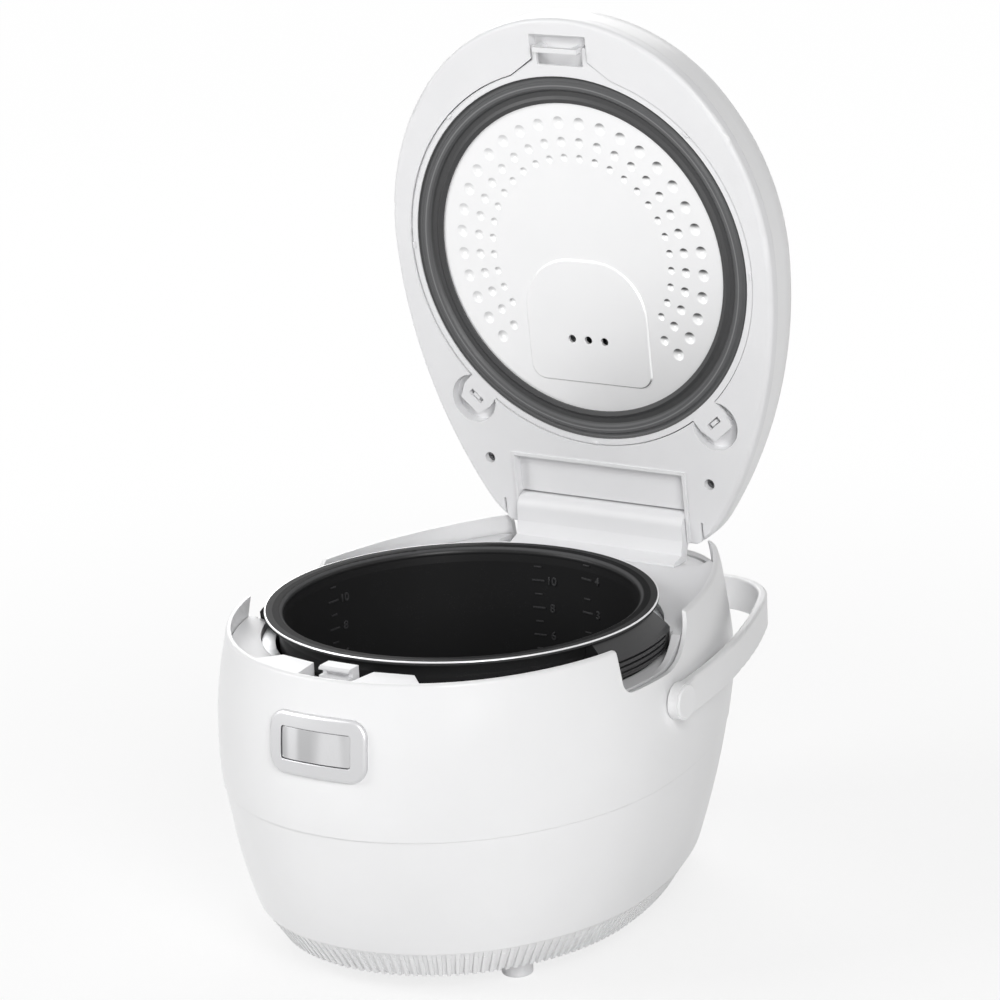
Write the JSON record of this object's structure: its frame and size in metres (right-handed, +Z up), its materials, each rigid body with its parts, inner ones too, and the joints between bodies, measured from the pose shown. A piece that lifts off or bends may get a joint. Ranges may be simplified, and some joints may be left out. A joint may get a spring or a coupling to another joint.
{
  "type": "rice cooker",
  "caption": "White electric rice cooker with its hinged lid standing open, a black lift-out pot, a detachable dimpled inner lid and a fold-back carrying handle.",
  "frame": {"origin": "on the floor, under the middle of the whole cooker's box with the lid open", "axes": "+Z up, front with the release button towards -Y, +X to the cooker's left as it faces you"},
  "size_m": [0.3032, 0.3808, 0.5385],
  "materials": {
    "shell_white": "gloss",
    "inner_white": "satin",
    "plate_white": "satin",
    "seal_grey": "matt",
    "pot_coating": "satin non-stick coating",
    "grip_black": "matt",
    "silver_trim": "satin plated",
    "button_metal": "brushed",
    "steel": "plain",
    "foot_grey": "matt",
    "floor_grey": "matt",
    "well_metal": "rolled sheet",
    "cast_aluminium": "cast and turned",
    "element_dark": "oxidised",
    "heater_band": "woven heater sheath",
    "board_green": "satin",
    "pin_brass": "plain",
    "panel_grey": "gloss",
    "window_tint": "clear",
    "display_grey": "satin",
    "key_light": "satin"
  },
  "bodies": {
    "base": {"upper_body_shell": "shell_white", "lower_body_shell": "shell_white", "ribbed_base_band": "shell_white", "top_deck": "inner_white", "hinge_housing": "inner_white", "latch_bracket": "inner_white", "button_bezel": "silver_trim", "feet": "foot_grey", "floor_panel": "floor_grey", "foot_screws": "steel", "hinge_shaft": "steel", "hinge_springs": "steel", "sensor_spring": "steel", "latch_spring": "steel", "latch_pin": "steel", "handle_pins": "floor_grey", "pot_well": "well_metal", "heat_shield": "well_metal", "sensor_bracket": "well_metal", "well_supports": "floor_grey", "heating_plate": "cast_aluminium", "heating_element": "element_dark", "side_heater_band": "heater_band", "power_board": "board_green", "board_posts": "floor_grey", "power_inlet": "grip_black", "inlet_pins": "pin_brass"},
    "pot": {"inner_pot": "pot_coating", "pot_handle_right": "grip_black", "pot_handle_left": "grip_black", "pot_rivets": "steel"},
    "lid": {"lid_cover": "shell_white", "lid_frame": "inner_white", "lid_clips": "inner_white", "lid_screws": "steel", "lid_heater": "well_metal", "steam_vent": "seal_grey", "control_panel": "panel_grey", "display_window": "window_tint", "display_module": "display_grey", "lid_board": "board_green"},
    "inner_lid": {"inner_lid_ring": "inner_white", "lid_gasket": "seal_grey", "inner_lid_plate": "plate_white"},
    "cap": {"steam_cap": "shell_white"},
    "button": {"release_button": "button_metal"},
    "latch": {"latch_lever": "inner_white"},
    "sensor": {"sensor_cap": "cast_aluminium"},
    "handle": {"carry_handle": "shell_white", "handle_caps": "shell_white"},
    "start": {"start_key": "key_light"},
    "cancel": {"cancel_key": "key_light"},
    "menu": {"menu_key": "key_light"},
    "up": {"up_key": "key_light"},
    "down": {"down_key": "key_light"}
  },
  "joints": [
    {"name": "lid_hinge", "type": "hinge", "parent": "base", "child": "lid", "pos_m": [0, 0.1504, 0.208], "axis": [-1, 0, 0], "range_deg": [-84, 0], "stiffness_Nm_per_rad": 0.9, "springref_deg": 17.19},
    {"name": "pot_lift", "type": "slide", "parent": "base", "child": "pot", "axis": [0, 0, 1], "range_m": [0, 0.16]},
    {"name": "inner_lid_pull", "type": "slide", "parent": "lid", "child": "inner_lid", "axis": [0, -0.9945, -0.1045], "range_m": [0, 0.024]},
    {"name": "steam_cap_pull", "type": "slide", "parent": "lid", "child": "cap", "axis": [0, 0.9945, 0.1045], "range_m": [0, 0.02]},
    {"name": "button_press", "type": "slide", "parent": "base", "child": "button", "axis": [0, 1, 0], "range_m": [0, 0.002], "stiffness_N_per_m": 600},
    {"name": "latch_turn", "type": "hinge", "parent": "base", "child": "latch", "pos_m": [0, -0.1516, 0.122], "axis": [-1, 0, 0], "range_deg": [0, 3.1], "deforming": ["latch_spring"]},
    {"name": "handle_swing", "type": "hinge", "parent": "base", "child": "handle", "pos_m": [0, -0.0166, 0.1575], "axis": [1, 0, 0], "range_deg": [0, 8]},
    {"name": "sensor_press", "type": "slide", "parent": "base", "child": "sensor", "axis": [0, 0, 1], "range_m": [-0.003, 0], "stiffness_N_per_m": 300, "springref_m": 0.001, "deforming": ["sensor_spring"]},
    {"name": "start_press", "type": "slide", "parent": "lid", "child": "start", "axis": [0, -0.9839, -0.1788], "range_m": [0, 0.0008], "stiffness_N_per_m": 900},
    {"name": "cancel_press", "type": "slide", "parent": "lid", "child": "cancel", "axis": [0, -0.9839, -0.1788], "range_m": [0, 0.0008], "stiffness_N_per_m": 900},
    {"name": "menu_press", "type": "slide", "parent": "lid", "child": "menu", "axis": [0, -0.9839, -0.1788], "range_m": [0, 0.0008], "stiffness_N_per_m": 900},
    {"name": "up_press", "type": "slide", "parent": "lid", "child": "up", "axis": [0, -0.9839, -0.1788], "range_m": [0, 0.0008], "stiffness_N_per_m": 900},
    {"name": "down_press", "type": "slide", "parent": "lid", "child": "down", "axis": [0, -0.9839, -0.1788], "range_m": [0, 0.0008], "stiffness_N_per_m": 900}
  ],
  "couplings": [
    {"joint": "latch_turn", "follows": "button_press", "rad_per_m": 27.053}
  ]
}
